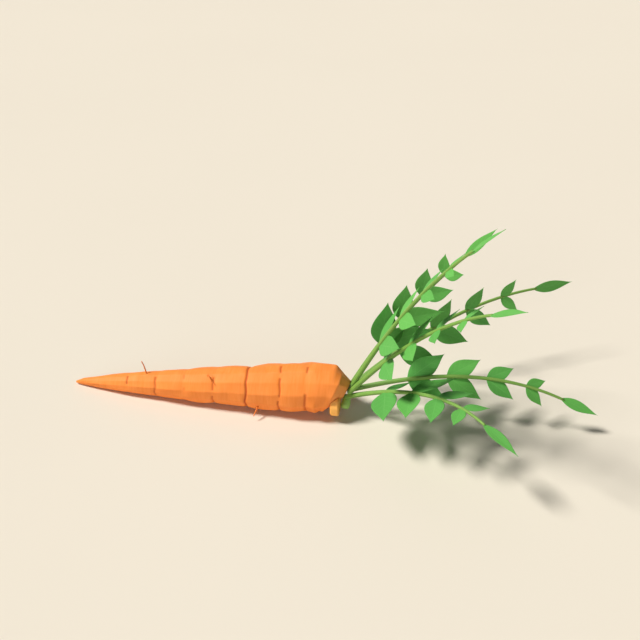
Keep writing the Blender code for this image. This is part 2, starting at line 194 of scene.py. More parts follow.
def cork_material():
    """Crown cork: a pale orange yellow with a coarse grain and slightly darker spots."""
    material = new_material("crown_cork")
    place = add(material, "ShaderNodeTexCoord", {}, "Object")
    grain = add(material, NOISE, {"Vector": place, "Scale": GRAIN_PER_MM * MM, "Detail": 5.0, "Roughness": 0.65})
    cells = add(material, "ShaderNodeTexVoronoi", {"Vector": place, "Scale": SPOTS_PER_MM * MM})
    near = add(material, MATH, {"operation": "MULTIPLY_ADD", 0: cells, 1: -SPOT_EDGE, 2: 1.0})
    spots = add(material, MATH, {"operation": "MAXIMUM", 0: near, 1: 0.0})
    spot_share = add(material, MATH, {"operation": "MULTIPLY", 0: spots, 1: SPOT_STRENGTH})
    body = add(material, MIX, {"data_type": "RGBA", SHARE: grain, FIRST: "#FFB24E", SECOND: "#FFBE5E"}, MIXED)
    spotted = add(material, MIX, {"data_type": "RGBA", SHARE: spot_share, FIRST: body, SECOND: "#EBA04C"}, MIXED)
    bump = add(material, "ShaderNodeBump", {"Strength": 0.3, "Distance": 0.0002, "Height": grain})
    return finish(material, {"Base Color": spotted, "Roughness": 0.62, "Normal": bump})


cork = cork_material()

# %% [markdown]
# ## Leaf stalk and stub rind
# A leaf stalk is a juicy stem that strands of fibre keep stiff. The strands show as fine pale ribs along it.
# It is satin and a yellower green than the leaflets. The stub is the butt of such a stalk with the same ribs,
# so both are made by one function with different colours. The stub's greens are painted far paler, as painted
# light that lifts the shade which the fronds above cast on it.
#
# The ribs are a sine wave of the place round the stalk, a number on the mesh, so that they stay straight
# along a bent stem. A noise on the coordinates would break them up.

# %% Leaf stalk and stub rind
RIBS = 9  # strands of fibre round a stalk
STALK_MOTTLE_PER_MM = 0.25  # soft blotches about 4 mm across
RIB_TINT = 0.10  # a rib's crest takes up to twice this share of the rib colour


def stalk_material(name, foot, top, blotch, rib_tint):
    """Leaf stalk: one green turning to another from its foot to its top, with blotches and paler ribs."""
    material = new_material(name)
    place = add(material, "ShaderNodeTexCoord", {}, "Object")
    along = add(material, "ShaderNodeAttribute", {"attribute_name": "along"}, "Fac")
    around = add(material, "ShaderNodeAttribute", {"attribute_name": "around"}, "Fac")
    mottle = add(
        material, NOISE, {"Vector": place, "Scale": STALK_MOTTLE_PER_MM * MM, "Detail": 3.0, "Roughness": 0.5}
    )
    angle = add(material, MATH, {"operation": "MULTIPLY", 0: around, 1: 2 * math.pi * RIBS})
    rib = add(material, MATH, {"operation": "SINE", 0: angle})
    rib_share = add(material, MATH, {"operation": "MULTIPLY_ADD", 0: rib, 1: RIB_TINT, 2: RIB_TINT})
    blotch_share = add(material, MATH, {"operation": "MULTIPLY", 0: mottle, 1: 0.5})
    run = add(material, MIX, {"data_type": "RGBA", SHARE: along, FIRST: foot, SECOND: top}, MIXED)
    blotched = add(material, MIX, {"data_type": "RGBA", SHARE: blotch_share, FIRST: run, SECOND: blotch}, MIXED)
    ribbed = add(material, MIX, {"data_type": "RGBA", SHARE: rib_share, FIRST: blotched, SECOND: rib_tint}, MIXED)
    bump = add(material, "ShaderNodeBump", {"Strength": 0.35, "Distance": 0.00015, "Height": rib})
    return finish(material, {"Base Color": ribbed, "Roughness": 0.48, "IOR": PLANT_IOR, "Normal": bump})


stalk = stalk_material("leaf_stalk", "#74A044", "#7CA44C", "#66943E", "#90B858")
# Painted light: the stub's greens are far paler than the stalk's, to lift the shade that the fronds above cast on
# it
painted_light_rind = stalk_material("stub_rind_painted_light", "#B4E47C", "#B4E47C", "#A4D86C", "#C8F090")

# %% [markdown]
# ## Leaf blade
# A leaflet is a thin blade with a waxy but uneven skin, so it is fresh green and matt to satin, with a pale
# midrib and side veins that run forward to its edge.
#
# A painted leaf picture would show the same veins, but here no picture is needed. Two numbers on the mesh,
# how far along the leaflet and how far across it a point is, draw the midrib and the veins on every leaflet
# however it is turned. A third gives each pair its own tone, as leaflets of different ages have.

# %% Leaf blade
SIDE_VEINS = 7  # on each half of a leaflet: about 4 mm apart on the largest
VEIN_SLANT = 0.22  # how far a vein runs forward on its way to the edge, as a share of the leaflet's length
MIDRIB_SHARPNESS = 14.0  # the midrib takes 1 / 14 of each half's width
VEIN_SHARPNESS = 10.0  # a high power of the wave leaves narrow lines
VEIN_STRENGTH = 0.45  # of the midrib's
BLADE_MOTTLE_PER_MM = 0.12  # soft blotches about 8 mm across
BLADE_GRAIN_PER_MM = 1.6  # real cells are about 0.05 mm: drawn 0.6 mm across, or they would not show


def leaf_material():
    """Leaf blade: light or dark green by its tone, mottled, with a pale midrib and slanted side veins."""
    material = new_material("leaf_blade")
    place = add(material, "ShaderNodeTexCoord", {}, "Object")
    along = add(material, "ShaderNodeAttribute", {"attribute_name": "along"}, "Fac")
    across = add(material, "ShaderNodeAttribute", {"attribute_name": "across"}, "Fac")
    tone = add(material, "ShaderNodeAttribute", {"attribute_name": "tone"}, "Fac")
    # The midrib: 1 - 14 * |across|, not below nought
    aside = add(material, MATH, {"operation": "ABSOLUTE", 0: across})
    midrib = add(material, MATH, {"operation": "MULTIPLY", 0: aside, 1: MIDRIB_SHARPNESS})
    midrib = add(material, MATH, {"operation": "SUBTRACT", 0: 1.0, 1: midrib})
    midrib = add(material, MATH, {"operation": "MAXIMUM", 0: midrib, 1: 0.0})
    # The side veins: a sine along the leaflet that starts later towards the edge, to a high power
    slope = add(material, MATH, {"operation": "MULTIPLY_ADD", 0: aside, 1: -VEIN_SLANT, 2: along})
    wave = add(material, MATH, {"operation": "MULTIPLY", 0: slope, 1: 2 * math.pi * SIDE_VEINS})
    wave = add(material, MATH, {"operation": "SINE", 0: wave})
    wave = add(material, MATH, {"operation": "MULTIPLY_ADD", 0: wave, 1: 0.5, 2: 0.5})
    vein = add(material, MATH, {"operation": "POWER", 0: wave, 1: VEIN_SHARPNESS})
    vein = add(material, MATH, {"operation": "MULTIPLY", 0: vein, 1: VEIN_STRENGTH})
    lines = add(material, MATH, {"operation": "MAXIMUM", 0: midrib, 1: vein})
    line_share = add(material, MATH, {"operation": "MULTIPLY", 0: lines, 1: 0.20})
    mottle = add(
        material, NOISE, {"Vector": place, "Scale": BLADE_MOTTLE_PER_MM * MM, "Detail": 3.0, "Roughness": 0.55}
    )
    mottle_share = add(material, MATH, {"operation": "MULTIPLY", 0: mottle, 1: 0.30})
    grain = add(
        material, NOISE, {"Vector": place, "Scale": BLADE_GRAIN_PER_MM * MM, "Detail": 2.0, "Roughness": 0.5}
    )
    blade = add(material, MIX, {"data_type": "RGBA", SHARE: tone, FIRST: "#5AA44E", SECOND: "#64B052"}, MIXED)
    mottled = add(
        material, MIX, {"data_type": "RGBA", SHARE: mottle_share, FIRST: blade, SECOND: "#5AA648"}, MIXED
    )
    veined = add(material, MIX, {"data_type": "RGBA", SHARE: line_share, FIRST: mottled, SECOND: "#86C872"}, MIXED)
    roughness = add(material, MATH, {"operation": "MULTIPLY_ADD", 0: grain, 1: 0.12, 2: 0.50})
    # Veins are sunk into the upper side of a leaflet, so they count as negative height
    fine = add(material, MATH, {"operation": "MULTIPLY", 0: grain, 1: 0.3})
    height = add(material, MATH, {"operation": "MULTIPLY_ADD", 0: lines, 1: -1.0, 2: fine})
    bump = add(material, "ShaderNodeBump", {"Strength": 0.25, "Distance": 0.00018, "Height": height})
    return finish(material, {
        "Base Color": veined, "Roughness": roughness, "IOR": PLANT_IOR,
        "Specular IOR Level": PLANT_SHINE, "Normal": bump,
    })


leaf = leaf_material()

# %% [markdown]
# ## Surfaces from numbers
# Every new piece is a closed tube of some kind, from the fat root to a flat leaflet. A tube is a grid of
# points: rings one after another, each with the same number of points round it, and one more point at each
# end that closes it. Whole arrays are worked out at once and put into the mesh in one go.


# %% Tubes
def tube_faces(rings, sides, first=0):
    """Faces of a closed tube, all facing outwards: a quad between neighbouring points of neighbouring rings,
    and a fan of triangles to the point at each end. The points are the rings, then the start, then the end.
    Each ring runs from a side direction towards (the tube's direction x that side direction)."""
    i, j = np.meshgrid(np.arange(rings - 1), np.arange(sides), indexing="ij")
    k = (j + 1) % sides
    quads = np.stack([i * sides + j, i * sides + k, (i + 1) * sides + k, (i + 1) * sides + j], -1)
    j = np.arange(sides)
    k = (j + 1) % sides
    start = np.stack([np.full(sides, rings * sides), k, j], -1)
    last = (rings - 1) * sides
    end = np.stack([np.full(sides, rings * sides + 1), last + j, last + k], -1)
    return [face for part in (quads.reshape(-1, 4), start, end) for face in (part + first).tolist()]


def tube_points(middles, ups, levels, radii, sides):
    """Points of a round tube: middle + radius * (cos a * level + sin a * up), then the two end points."""
    a = np.arange(sides) * 2 * math.pi / sides
    ring = np.cos(a)[None, :, None] * levels[:, None, :] + np.sin(a)[None, :, None] * ups[:, None, :]
    points = middles[:, None, :] + ring * radii[:, None, None]
    return np.vstack([points.reshape(-1, 3), middles[:1], middles[-1:]])


print("faces of a tube of 3 rings with 4 sides:", len(tube_faces(3, 4)))


# %% Small sums on rows of points
def unit(vectors):
    """Vectors shortened or lengthened to length one: v / |v|."""
    return vectors / np.linalg.norm(vectors, axis=-1, keepdims=True)


def eased(rows):
    """Running average along rows, with both end rows kept: (before + 2 * here + after) / 4."""
    return np.concatenate([rows[:1], (rows[:-2] + 2 * rows[1:-1] + rows[2:]) / 4, rows[-1:]])


def filled(path, count):
    """A path of a few points filled in to a number of points, straight between them."""
    places = np.linspace(0, len(path) - 1, count)
    return np.stack([np.interp(places, np.arange(len(path)), path[:, k]) for k in range(3)], -1)


print("eased 0 1 0 1 0:", eased(np.array([0.0, 1.0, 0.0, 1.0, 0.0])))


# %% Meshes
def mesh_object(name, points, faces, values, materials, face_slots=None):
    """An object at the origin from points and faces, with named numbers on its points, shaded smooth."""
    mesh = bpy.data.meshes.new(name)
    mesh.from_pydata(np.asarray(points).tolist(), [], faces)
    for label, numbers in values.items():
        layer = mesh.attributes.new(label, "FLOAT", "POINT")
        layer.data.foreach_set("value", np.asarray(numbers, dtype=np.float32))
    mesh.polygons.foreach_set("use_smooth", np.ones(len(faces), dtype=bool))
    for material in materials:
        mesh.materials.append(material)
    if face_slots is not None:
        mesh.polygons.foreach_set("material_index", np.asarray(face_slots, dtype=np.int32))
    mesh.update()
    obj = bpy.data.objects.new(name, mesh)
    bpy.context.scene.collection.objects.link(obj)
    triangles = sum(len(face) - 2 for face in faces)
    print(f"{name}: {len(points)} points, {triangles} triangles")
    return obj


# %% [markdown]
# ## The root
# A carrot root is the swollen main root of the plant. It runs from a broad crown to a tip as thin as thread,
# with a slight bend, and this one has broad flat facets that are uneven from ring to ring.
#
# It could be sculpted, or modelled from a subdivided cone. Here it is one closed surface on a grid, because
# then its taper, bend and facets stay plain numbers that are easy to change. Rings of corner points run from
# the tip to the crown, twelve corners to a ring. A seeded draw moves each corner in or out a little, and
# along the root, so the facets are as uneven as on a root that grew, yet the same at every run.

# %% Measures of the root, in metres and degrees
TIP_X = -0.088
TIP_RADIUS = 0.0007
TIP_LIFT = 0.0008  # the tip is held a little above the floor
TIP_RINGS_X = (-0.082, -0.073, -0.064)
ROOT_LENGTH = 0.1765
WIDEST_X = 0.0715
MAX_RADIUS = 0.0161
TAPER_POWER = 0.62  # 1 would be a straight cone: less is fuller towards the tip
SIDES = 12
CREASE_PLACES_X = (-0.0507, -0.0314, -0.0124, 0.0071, 0.0282, 0.0493, 0.0655)
SHOULDER_X, SHOULDER_RADIUS = 0.0765, 0.0152
RIM_X, RIM_RADIUS, RIM_LIFT = 0.0805, 0.0153, -0.0002
RIM_CUT, RIM_CUT_ANGLE = 0.26, 45.0  # the rim is cut away by this share on its upper far side
FLAT_X, FLAT_RADIUS = TIP_X + ROOT_LENGTH, 0.0060  # the small flat that ends the crown
CROWN_LIFT = -0.0006
CROWN_SLANT = 0.46  # how far the crown end leans forward for each unit of height
BEND, BEND_MIDDLE_X, BEND_REACH, BEND_OFFSET = 0.0026, -0.006, 0.080, -0.001
RADIUS_JITTER = 0.055  # share of the radius that a corner moves in or out
RING_SHIFT = 0.0016  # how far a corner moves along the root
REST_ANGLE_SINE = -0.95  # corners below this sine of their angle are the ones that the root lies on
REST_SINK = 0.0004  # these corners reach just below the floor, and the skin is cut flat there
ROOT_SEED = 11


def ramp(x, start, end):
    """Nought before the start, one after the end, straight between."""
    return np.clip((x - start) / (end - start), 0.0, 1.0)


def root_radius(x):
    """Radius at x: largest radius * (share of the way from tip to widest) ** power."""
    share = np.maximum((x - TIP_X) / (WIDEST_X - TIP_X), 0.0)
    return np.maximum(TIP_RADIUS, MAX_RADIUS * share**TAPER_POWER)


def axis_height(x):
    """Height of the root's middle: radius * cos(half a side's angle), so that its lowest facets lie on the
    floor, plus small lifts at the tip and the crown."""
    low = math.cos(math.pi / SIDES)
    tip = TIP_LIFT * (1.0 - ramp(x, TIP_X, TIP_RINGS_X[-1]))
    crown = RIM_LIFT * ramp(x, WIDEST_X, RIM_X) + (CROWN_LIFT - RIM_LIFT) * ramp(x, RIM_X, FLAT_X)
    return root_radius(np.minimum(x, WIDEST_X)) * low + tip + crown


def axis_aside(x):
    """How far the root's middle lies from the X axis: a shallow parabola."""
    return BEND * ((x - BEND_MIDDLE_X) / BEND_REACH) ** 2 + BEND_OFFSET


print("radius halfway along, mm:", in_mm(root_radius(TIP_X + ROOT_LENGTH / 2)))


# %% Corners of the facets
def root_stations():
    """Rings of corners as (x, radius, kind), the tip first: one at each crease and one between creases."""
    rows = [(TIP_X, TIP_RADIUS, "tip")]
    rows += [(x, float(root_radius(x)), "plain") for x in TIP_RINGS_X]
    for x, after in zip(CREASE_PLACES_X, CREASE_PLACES_X[1:] + (None,)):
        rows.append((x, float(root_radius(x)), "crease"))
        if after is not None:
            rows.append(((x + after) / 2, float(root_radius((x + after) / 2)), "plain"))
    rows.append((WIDEST_X, MAX_RADIUS, "plain"))
    rows.append((SHOULDER_X, SHOULDER_RADIUS, "plain"))
    rows.append((RIM_X, RIM_RADIUS, "rim"))
    rows.append((FLAT_X, FLAT_RADIUS, "flat"))
    return rows


def root_corners():
    """Corners of the facets as rings x sides x 3, and each ring's x. A corner is at radius * (1 + a draw) *
    (cos a, sin a) about the root's middle, and its x gets a draw too and leans with height at the crown."""
    rows = root_stations()
    chance = random.Random(ROOT_SEED)
    push = np.array([[chance.uniform(-1.0, 1.0) for _ in range(SIDES)] for _ in rows])
    slide = np.array([[chance.uniform(-1.0, 1.0) for _ in range(SIDES)] for _ in rows])
    x0 = np.array([row[0] for row in rows])
    radius = np.array([row[1] for row in rows])
    kind = np.array([row[2] for row in rows])
    steady = np.isin(kind, ("tip", "flat", "rim"))[:, None]
    angle = (np.arange(SIDES) + 0.5) * 2 * math.pi / SIDES
    grow = np.where(steady, 1.0, 1.0 + RADIUS_JITTER * push)
    cut = RIM_CUT * np.maximum(0.0, np.cos(angle - math.radians(RIM_CUT_ANGLE)))
    grow = grow - np.where((kind == "rim")[:, None], cut, 0.0)
    x = x0[:, None] + np.where((kind == "plain")[:, None], RING_SHIFT * slide, 0.0)
    y = radius[:, None] * grow * np.cos(angle)
    z = radius[:, None] * grow * np.sin(angle)
    level = axis_height(x0)[:, None]
    lowest = (np.sin(angle) < REST_ANGLE_SINE)[None, :] & ~np.isin(kind, ("flat", "rim"))[:, None]
    lowest = lowest & (x > TIP_RINGS_X[-1])
    z = np.where(lowest, -REST_SINK - level, z)
    lean = CROWN_SLANT * ramp(x, WIDEST_X, RIM_X)
    return np.stack([x + lean * z, y + axis_aside(x), z + level], -1), x0


corners, ring_x = root_corners()
print("root corners:", corners.shape, "length, mm:", in_mm(np.ptp(corners[..., 0])))

# %% [markdown]
# ## Creases and waists
# Where a root stopped and went on thickening, it keeps a crease: a narrow dark groove that covers only part
# of the way round, in a faint wider waist. They could be a bump map, but a cut groove also catches the light
# and breaks the outline, so they are cut into the mesh.
#
# The facets are first filled in to a fine grid, straight between neighbouring corners, and one running
# average rounds their edges by a fraction of a millimetre. Each crease has a list of the arcs that it covers
# and a strength. Degrees run round the root from its far side over the top to the near side. The arcs that
# the camera sees are set one by one. Each crease also gets one arc out of sight, from a seeded draw.

# %% Measures of the creases, in metres and degrees
PER_SIDE = 12  # fine points across a facet
RING_STEP = 0.0006  # fine rings along the root, about this far apart
GROOVE_WIDTH, GROOVE_DEPTH = 0.00062, 0.00060
WAIST_WIDTH, WAIST_DEPTH = 0.0030, 0.00035
CREASE_FADE_X = -0.04  # grooves and waists fade out from here to the tip
ARC_SOFTNESS = 5.0  # an arc's ends fade over this many degrees
WANDER = ((3, 0, 0.00022), (7, 40, 0.00010))  # waves round the root, first angle, swing along the root
HIDDEN_FROM, HIDDEN_FROM_SPREAD, HIDDEN_LENGTH, HIDDEN_LENGTH_SPREAD = 250, 60, 60, 40
CREASE_SEED = 5
CREASE_ARCS = (
    (((94, 153),), 0.85),
    (((112, 216),), 0.80),
    (((105, 122), (154, 166)), 0.35),
    (((116, 160), (180, 240)), 0.75),
    (((30, 262),), 1.15),
    (((78, 108), (121, 170), (181, 240)), 0.90),
    (((84, 110), (160, 224)), 0.85),
)


# %% The fine grid and its grooves
def fine_grid():
    """The corners filled in: a straight blend along the root, then round it. Also each fine ring's x."""
    counts = np.maximum(np.ceil(np.diff(ring_x) / RING_STEP).astype(int), 2)
    spots = np.concatenate([np.arange(n) / n + i for i, n in enumerate(counts)] + [[len(corners) - 1]])
    low = np.minimum(spots.astype(int), len(corners) - 2)
    part = (spots - low)[:, None, None]
    along = corners[low] * (1 - part) + corners[low + 1] * part
    t = (np.arange(PER_SIDE) / PER_SIDE)[None, None, :, None]
    after = np.roll(along, -1, axis=1)
    grid = along[:, :, None, :] * (1 - t) + after[:, :, None, :] * t
    return grid.reshape(len(spots), -1, 3), np.interp(spots, np.arange(len(corners)), ring_x)


def grooves(x, degrees):
    """Depth share of the creases on the grid: strength * exp(-(distance / width) ** 2) across a groove, times
    the cover of its arcs, which is one inside an arc and falls to nought at its ends."""
    chance = random.Random(CREASE_SEED)
    total = np.zeros((len(x), len(degrees)))
    wander = sum(np.sin(np.radians(degrees * waves + first)) * swing for waves, first, swing in WANDER)
    for number, (arcs, strength) in enumerate(CREASE_ARCS):
        away = x[:, None] - CREASE_PLACES_X[number] - wander * (1 + number % 3)
        across = np.exp(-((away / GROOVE_WIDTH) ** 2))
        hidden = HIDDEN_FROM + HIDDEN_FROM_SPREAD * chance.random()
        unseen = (hidden, hidden + HIDDEN_LENGTH + HIDDEN_LENGTH_SPREAD * chance.random())
        cover = np.zeros(len(degrees))
        for start, end in arcs + (unseen,):
            into = (degrees - start) % 360
            inside = np.minimum(into, (end - start) - into)
            cover = np.maximum(cover, np.clip(inside / ARC_SOFTNESS + 0.5, 0, 1))
        total = np.maximum(total, across * cover * strength)
    return total


# %% The root's surface
# The crown end's paler colour is painted light, lifting the shade that falls on that end
END_FROM, END_TO = RIM_X - 0.0002, RIM_X + 0.0006  # the skin turns into the paler crown end between these


def root_surface():
    """Points and faces of the root, and its numbers for painted crease shade and the painted paler crown end. Each
    point of the rounded grid moves towards the middle of its ring by groove depth * crease + waist depth *
    exp(-(distance / width) ** 2)."""
    grid, x = fine_grid()
    # One running average round the root, then one along it
    grid = (np.roll(grid, 1, axis=1) + 2 * grid + np.roll(grid, -1, axis=1)) / 4
    grid = eased(grid)
    sides = grid.shape[1]
    crease = grooves(x, (np.arange(sides) / PER_SIDE + 0.5) * 360 / SIDES)
    fade = ramp(x, TIP_X, CREASE_FADE_X)
    away = (x[:, None] - np.array(CREASE_PLACES_X)) / WAIST_WIDTH
    waist = WAIST_DEPTH * np.exp(-(away**2)).sum(axis=1) * fade
    inward = grid.mean(axis=1, keepdims=True) - grid
    inward[..., 0] = 0.0
    depth = GROOVE_DEPTH * crease * fade[:, None] + waist[:, None]
    grid = grid + unit(inward) * depth[..., None]
    grid[..., 2] = np.maximum(grid[..., 2], 0.0)  # flat where it lies on the floor
    points = np.vstack([grid.reshape(-1, 3), grid[0].mean(axis=0), grid[-1].mean(axis=0)])
    crease_shade_and_hair_numbers = np.concatenate([crease.ravel(), [0.0, 0.0]])
    end = np.broadcast_to(ramp(x, END_FROM, END_TO)[:, None], crease.shape)
    painted_lift_end_numbers = np.concatenate([end.ravel(), [0.0, 1.0]])
    return points, tube_faces(len(x), sides), crease_shade_and_hair_numbers, painted_lift_end_numbers


points, faces, crease_shade_and_hair_numbers, painted_lift_end_numbers = root_surface()
print("root skin:", len(points), "points, deepest crease:", round(float(crease_shade_and_hair_numbers.max()), 2))

# %% [markdown]
# ## Root hairs
# Thin side roots break through the skin here and there. Most were rubbed off when the carrot was washed, and
# three short brown ones are left. Each is a thin round tube along a few points that gets thinner towards its
# end. They grew out of the root, so they join its mesh instead of being objects of their own, and a middling
# crease number gives them their browner tone.

# %% Root hairs, in metres
HAIR_FOOT_RADIUS, HAIR_TIP_RADIUS = 0.00052, 0.00030
HAIR_RINGS, HAIR_SIDES = 13, 8
HAIR_TONE = 0.35
HAIRS = (
    ((-0.0385, 0.0005, 0.0125), (-0.0388, 0.0, 0.0170), (-0.0400, 0.0010, 0.0206), (-0.0412, 0.0010, 0.0236)),
    ((0.0030, -0.0030, 0.0190), (0.0030, -0.0046, 0.0226), (0.0050, -0.0072, 0.0226), (0.0068, -0.0094, 0.0212)),
    ((0.0360, -0.0100, 0.0070), (0.0355, -0.0136, 0.0060), (0.0347, -0.0160, 0.0046), (0.0341, -0.0176, 0.0033)),
)


def hair_points(course):
    """Points of one hair: a round tube along its course, which is moved aside with the bend of the root."""
    path = np.array(course, dtype=float)
    path[:, 1] += axis_aside(path[:, 0])
    path = eased(filled(path, HAIR_RINGS))
    ahead = unit(np.gradient(path, axis=0))
    level = unit(np.cross(ahead, (1.0, 0.0, 0.0)))
    radii = np.linspace(HAIR_FOOT_RADIUS, HAIR_TIP_RADIUS, HAIR_RINGS)
    return tube_points(path, np.cross(ahead, level), level, radii, HAIR_SIDES)


for course in HAIRS:
    hair = hair_points(course)
    faces += tube_faces(HAIR_RINGS, HAIR_SIDES, len(points))
    points = np.vstack([points, hair])
    crease_shade_and_hair_numbers = np.concatenate([crease_shade_and_hair_numbers, np.full(len(hair), HAIR_TONE)])
    painted_lift_end_numbers = np.concatenate([painted_lift_end_numbers, np.zeros(len(hair))])
root_skin = mesh_object("root_skin", points, faces, {"crease": crease_shade_and_hair_numbers, "end": painted_lift_end_numbers}, [skin])
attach(root_skin, "root")
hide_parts("root")

# %% [markdown]
# ## The fronds
# A frond is one leaf of the plant: a long stem that grows from the crown, with leaflets in pairs along it and
# one at its end. Stems bow because they are heavy at the far end and turn to the light.
#
# Fronds are often made by scattering one leaflet along a curve. Here each stem and each leaflet is worked out
# from a few numbers instead, because the six fronds differ in how they lean, turn and droop, and because each
# is one closed piece. A stem's heading and rise change with the power 1.5 of the share of its length, so it
# starts straight and bends more and more.

# %% Measures of the fronds, in metres and degrees
STEM_LENGTH = 0.136
STEM_LEAD = 0.0012  # the first bit of a stem stands straight out of the crown
STEM_BOW_POWER = 1.5
STEM_BASE_RADIUS, STEM_TIP_RADIUS = 0.0016, 0.0008
STEM_RING_RADIUS, STEM_RING_ASIDE = 0.0043, -0.0005  # the ring on the crown that the stems start from
GAP = 0.0003  # clearance between the crown and what starts on it
STEM_RINGS, STEM_SIDES = 64, 14
LEAF_NODES = (0.28, 0.46, 0.64, 0.82)  # where pairs of leaflets sit, as shares of the stem
LEAF_LENGTHS = (0.0320, 0.0275, 0.0215, 0.0160)
LEAF_WIDTH_SHARE = 0.47
LEAF_JITTER, ANGLE_JITTER = 0.05, 3.0  # a share of the length, and degrees
PAIR_TONES = (0.15, 0.95, 0.35, 0.95)  # 0 is the darker green, 1 the lighter
END_LEAF_LENGTH, END_LEAF_WIDTH_SHARE, END_LEAF_PLACE, END_LEAF_TONE = 0.0290, 0.27, 0.985, 0.9
# Shares of the usual length and width, for end leaflets that grew shorter or slimmer
END_LEAF_SHAPES = {"frond_long": (0.84, 0.85), "frond_far": (1.0, 0.72), "frond_upright": (1.0, 0.72)}

# Each frond has five entries:
# 1. where it starts: the share of the ring's radius, and the angle round the ring from +Y over the top
# 2. its course: heading and rise at the start, how far each has turned at the end, and the length's share
# 3. its leaflets: roll about the stem, length's share, angle to the stem, and droop
# 4. leaflets that stayed small: (pair, side) and the length's share
# 5. the seed of its small differences
FRONDS = {
    "frond_upright": ((1.0, 100.0), (-13.7, 65.8, -29.8, -18.5, 1.01), (26.0, 0.83, 42.0, 10.6), {}, 3),
    "frond_far": ((1.0, 38.0), (39.1, 51.8, -63.8, 1.0, 0.81), (75.5, 1.02, 35.5, -33.5), {}, 5),
    "frond_back": ((1.0, -25.0), (39.0, 26.1, -13.5, -25.9, 1.05), (81.5, 0.96, 51.3, -23.8), {}, 7),
    "frond_front_high": ((1.0, 160.0), (-13.5, 54.4, -35.6, -22.5, 0.94), (14.7, 0.85, 61.0, 0.6), {}, 9),
    "frond_long": ((0.0, 0.0), (5.8, 17.9, -12.2, -38.3, 0.97), (37.2, 0.94, 34.9, 23.4), {(0, -1): 0.8}, 13),
    "frond_near": ((1.0, 222.0), (-17.8, 28.6, -34.6, -30.1, 0.76), (-3.3, 1.08, 61.6, 4.2), {(0, 1): 0.55}, 17),
}
UP = (0.0, 0.0, 1.0)
STALK_SLOT, LEAF_SLOT = 0, 1


# %% The course of a stem
def turned(vector, axis, degrees):
    """A vector at right angles to the axis, turned about it: v * cos a + (axis x v) * sin a."""
    a = math.radians(degrees)
    return vector * math.cos(a) + np.cross(axis, vector) * math.sin(a)


def stem_base(reach, degrees):
    """Where a stem starts: on the ring round the crown's middle, just clear of the slanted flat."""
    aside = STEM_RING_RADIUS * reach * math.cos(math.radians(degrees))
    above = STEM_RING_RADIUS * reach * math.sin(math.radians(degrees))
    out = CROWN_SLANT * above + GAP + STEM_BASE_RADIUS * CROWN_SLANT
    return np.array([FLAT_X + out, axis_aside(FLAT_X) + STEM_RING_ASIDE + aside, axis_height(FLAT_X) + above])


def stem_course(base, heading, rise, turn, bend, length):
    """Shares, places and directions along a stem: heading + turn * share ** 1.5, rise + bend * share ** 1.5,
    and each step follows the mean of the directions at its two ends."""
    share = np.linspace(0, 1, STEM_RINGS)
    bow = share**STEM_BOW_POWER
    side = np.radians(heading + turn * bow)
    up = np.radians(rise + bend * bow)
    along = np.stack([np.cos(up) * np.cos(side), np.cos(up) * np.sin(side), np.sin(up)], -1)
    steps = unit(along[1:] + along[:-1]) * length / (STEM_RINGS - 1)
    start = base + (STEM_LEAD, 0.0, 0.0)
    return share, np.vstack([start, start + np.cumsum(steps, axis=0)]), along


def stem_frame(course, where, roll):
    """At a share of the stem: its place, its direction, and the side where leaflets grow, rolled about it."""
    share, places, along = course
    spot, ahead = (np.array([np.interp(where, share, rows[:, k]) for k in range(3)]) for rows in (places, along))
    ahead = unit(ahead)
    return spot, ahead, turned(unit(np.cross(UP, ahead)), ahead, roll)


# %% [markdown]
# ## One leaflet
# A leaflet is a thin closed blade: narrow at its foot, widest before the middle and drawn out to a point. Its
# halves rise from the midrib like the sides of a shallow gutter, it sags a little towards its tip, and it is
# thickest along the midrib. A flat sheet with a Solidify modifier would be quicker, but its edge would be
# square. So it is a flattened tube, whose rings run round the blade, and its edge comes out round and thin.

# %% Measures of a leaflet
LEAF_RINGS, LEAF_SIDES = 26, 20
LEAF_THICKNESS, LEAF_EDGE = 0.00062, 0.00030  # along the midrib and at the edge, in metres
LEAF_FOLD = 0.12  # rise of the edge as a share of the half width
LEAF_SAG = 0.02  # drop of the tip as a share of the length
MIDRIB_SHARE = 0.22  # width of the thicker midrib as a share of the half width
FOOT_WIDTH, FOOT_POWER = 0.10, 10  # the short stalk of a leaflet
SHAPE_PEAK = 0.1859  # the largest value of u * (1 - u) ** 1.5, at u = 0.4
RING_MARGIN = 0.02  # keeps the first ring off the foot, where the tube has no width


def leaf_half_width(u):
    """Half width along a leaflet, 1 at its widest: u * (1 - u) ** 1.5, scaled, plus a short stalk."""
    return u * (1 - u) ** 1.5 / SHAPE_PEAK + FOOT_WIDTH * (1 - u) ** FOOT_POWER


